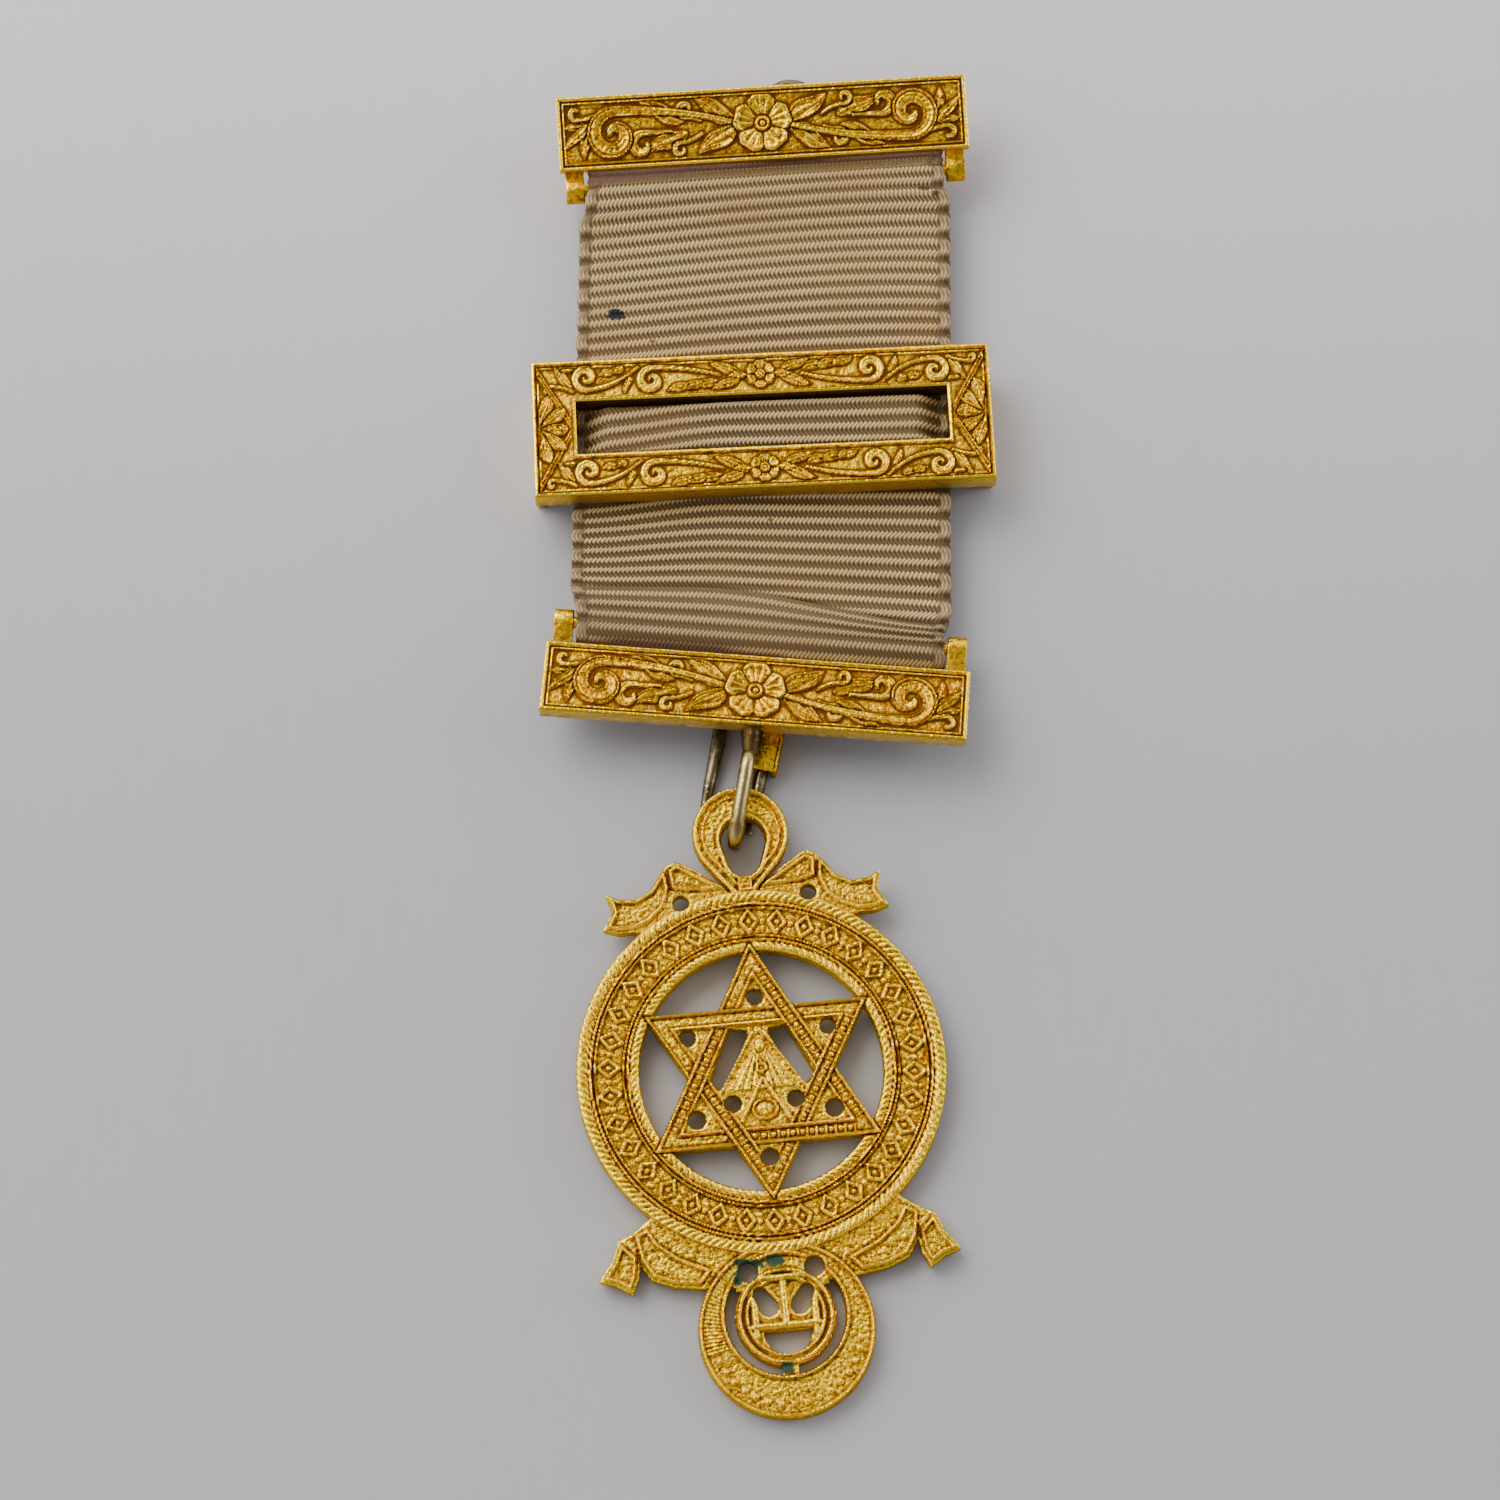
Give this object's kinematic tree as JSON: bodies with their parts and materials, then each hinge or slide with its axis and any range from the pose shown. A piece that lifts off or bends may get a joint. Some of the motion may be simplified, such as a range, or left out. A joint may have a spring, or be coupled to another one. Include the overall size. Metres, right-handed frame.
{
  "type": "breast jewel on a ribbon",
  "caption": "Gilt breast jewel: two chased bars, ribbed ribbon with a buckle slide, pierced round medal with a star, bow and crescent, steel pin behind.",
  "frame": {"origin": "middle of the outline in plan, on the surface that the jewel lies on", "axes": "+X to the jewel's left-hand side as worn seen from the front (right in the picture), +Y up the ribbon to the top bar, +Z out of its face"},
  "size_m": [0.0394, 0.1165, 0.0069],
  "materials": {
    "gilt_metal": "cast and chased, gilded, rubbed pale on its edges and brown in its recesses",
    "ribbon_cloth": "ribbed silk ribbon, cream aged to tan, stained",
    "pin_steel": "drawn wire, dull and tarnished"
  },
  "bodies": {
    "root": {"top_bar": "gilt_metal", "top_rod": "gilt_metal", "ribbon": "ribbon_cloth", "slide": "gilt_metal", "lower_bar": "gilt_metal", "lower_rod": "gilt_metal", "brooch_pin": "pin_steel", "medal": "gilt_metal"}
  },
  "joints": []
}
